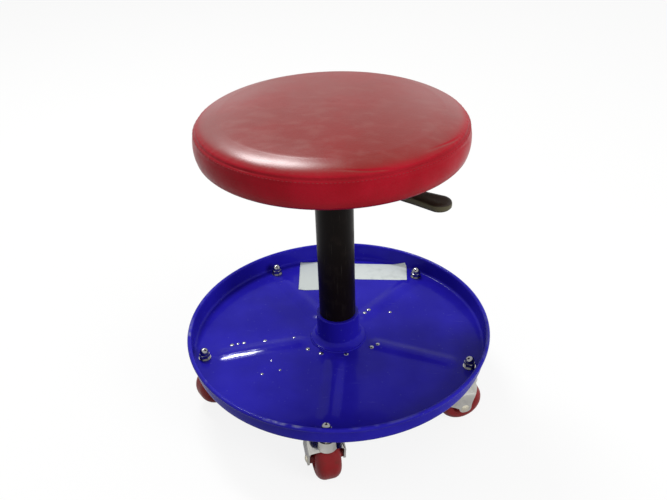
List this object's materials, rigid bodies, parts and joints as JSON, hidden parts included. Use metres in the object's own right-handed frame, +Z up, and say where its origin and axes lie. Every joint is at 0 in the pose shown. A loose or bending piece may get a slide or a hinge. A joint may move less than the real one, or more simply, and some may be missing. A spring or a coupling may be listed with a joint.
{
  "type": "creeper seat",
  "caption": "Rolling mechanic's seat: round padded cushion on a gas lift, standing in a shallow round tool tray with hooded swivel casters.",
  "frame": {"origin": "on the floor under the column's axis, seat at its lowest", "axes": "+Z up; one caster stud at -Y; the release lever points to +X, 30 degrees towards -Y"},
  "size_m": [0.4224, 0.4224, 0.4283],
  "materials": {
    "red_vinyl": "glossy smooth vinyl",
    "foam": "open foam",
    "plywood": "raw",
    "blue_paint": "gloss",
    "black_paint": "gloss",
    "chrome": "polished",
    "steel": "satin",
    "zinc_steel": "zinc plated",
    "red_wheel": "satin",
    "bush_plastic": "matte",
    "grip_plastic": "satin",
    "buffer_rubber": "matte",
    "bearing_steel": "ground",
    "cage_plastic": "satin",
    "red_button": "satin"
  },
  "bodies": {
    "base": {"tray": "blue_paint", "hub_socket": "blue_paint", "column_tube": "black_paint", "guide_bush": "bush_plastic", "bearing_race_lower": "bearing_steel", "acorn_nuts": "chrome", "stud_washers": "chrome", "caster_1_stem": "zinc_steel", "caster_2_stem": "zinc_steel", "caster_3_stem": "zinc_steel", "caster_4_stem": "zinc_steel", "caster_5_stem": "zinc_steel"},
    "ball_cage": {"bearing_cage": "cage_plastic", "bearing_balls": "bearing_steel"},
    "rod": {"piston_rod": "steel", "piston": "bush_plastic", "piston_ring": "buffer_rubber", "bearing_race_upper": "bearing_steel", "rubber_buffer": "buffer_rubber", "clip_washer": "zinc_steel", "retaining_clip": "zinc_steel"},
    "seat": {"seat_cover_top": "red_vinyl", "seat_cover_band": "red_vinyl", "seat_foam": "foam", "seat_board": "plywood", "tee_nuts": "zinc_steel", "seat_screws": "zinc_steel", "seat_plate": "black_paint", "taper_bush": "steel", "lever_bracket": "zinc_steel", "lever_pivot_pin": "zinc_steel", "pressure_cylinder": "black_paint", "inner_tube": "steel", "rod_guide": "bush_plastic", "valve_body": "steel"},
    "lever": {"lever_rod": "black_paint", "lever_grip": "grip_plastic"},
    "release_button": {"release_pin": "red_button"},
    "caster_1_fork": {"caster_1_hood": "chrome", "caster_1_axle": "zinc_steel"},
    "caster_1_roller": {"caster_1_wheel": "red_wheel"},
    "caster_2_fork": {"caster_2_hood": "chrome", "caster_2_axle": "zinc_steel"},
    "caster_2_roller": {"caster_2_wheel": "red_wheel"},
    "caster_3_fork": {"caster_3_hood": "chrome", "caster_3_axle": "zinc_steel"},
    "caster_3_roller": {"caster_3_wheel": "red_wheel"},
    "caster_4_fork": {"caster_4_hood": "chrome", "caster_4_axle": "zinc_steel"},
    "caster_4_roller": {"caster_4_wheel": "red_wheel"},
    "caster_5_fork": {"caster_5_hood": "chrome", "caster_5_axle": "zinc_steel"},
    "caster_5_roller": {"caster_5_wheel": "red_wheel"}
  },
  "joints": [
    {"name": "seat_swivel", "type": "hinge", "parent": "base", "child": "rod", "pos_m": [0, 0, 0.054], "axis": [0, 0, 1], "continuous": true},
    {"name": "cage_spin", "type": "hinge", "parent": "base", "child": "ball_cage", "pos_m": [0, 0, 0.057], "axis": [0, 0, 1], "continuous": true},
    {"name": "seat_height", "type": "slide", "parent": "rod", "child": "seat", "axis": [0, 0, 1], "range_m": [0, 0.12]},
    {"name": "lever_lift", "type": "hinge", "parent": "seat", "child": "lever", "pos_m": [0.02598, -0.015, 0.3639], "axis": [-0.5, -0.866, 0], "range_deg": [0, 6], "stiffness_Nm_per_rad": 5, "springref_deg": -8.59},
    {"name": "pin_press", "type": "slide", "parent": "seat", "child": "release_button", "axis": [0, 0, -1], "range_m": [0, 0.0032]},
    {"name": "caster_1_swivel", "type": "hinge", "parent": "base", "child": "caster_1_fork", "pos_m": [0.18089, -0.05878, 0.068], "axis": [0, 0, 1], "continuous": true},
    {"name": "caster_1_roll", "type": "hinge", "parent": "caster_1_fork", "child": "caster_1_roller", "pos_m": [0.16864, -0.06314, 0.03], "axis": [0.3355, -0.9421, 0], "continuous": true},
    {"name": "caster_2_swivel", "type": "hinge", "parent": "base", "child": "caster_2_fork", "pos_m": [0.1118, 0.15388, 0.068], "axis": [0, 0, 1], "continuous": true},
    {"name": "caster_2_roll", "type": "hinge", "parent": "caster_2_fork", "child": "caster_2_roller", "pos_m": [0.10453, 0.1431, 0.03], "axis": [0.829, -0.5592, 0], "continuous": true},
    {"name": "caster_3_swivel", "type": "hinge", "parent": "base", "child": "caster_3_fork", "pos_m": [-0.1118, 0.15388, 0.068], "axis": [0, 0, 1], "continuous": true},
    {"name": "caster_3_roll", "type": "hinge", "parent": "caster_3_fork", "child": "caster_3_roller", "pos_m": [-0.10214, 0.14518, 0.03], "axis": [0.6691, 0.7431, 0], "continuous": true},
    {"name": "caster_4_swivel", "type": "hinge", "parent": "base", "child": "caster_4_fork", "pos_m": [-0.18089, -0.05878, 0.068], "axis": [0, 0, 1], "continuous": true},
    {"name": "caster_4_roll", "type": "hinge", "parent": "caster_4_fork", "child": "caster_4_roller", "pos_m": [-0.17093, -0.05042, 0.03], "axis": [-0.6428, 0.766, 0], "continuous": true},
    {"name": "caster_5_swivel", "type": "hinge", "parent": "base", "child": "caster_5_fork", "pos_m": [0, -0.1902, 0.068], "axis": [0, 0, 1], "continuous": true},
    {"name": "caster_5_roll", "type": "hinge", "parent": "caster_5_fork", "child": "caster_5_roller", "pos_m": [-0.00423, -0.17791, 0.03], "axis": [-0.9455, -0.3256, 0], "continuous": true}
  ],
  "couplings": [
    {"joint": "cage_spin", "follows": "seat_swivel", "ratio": 0.5},
    {"joint": "pin_press", "follows": "lever_lift", "m_per_rad": 0.03}
  ]
}
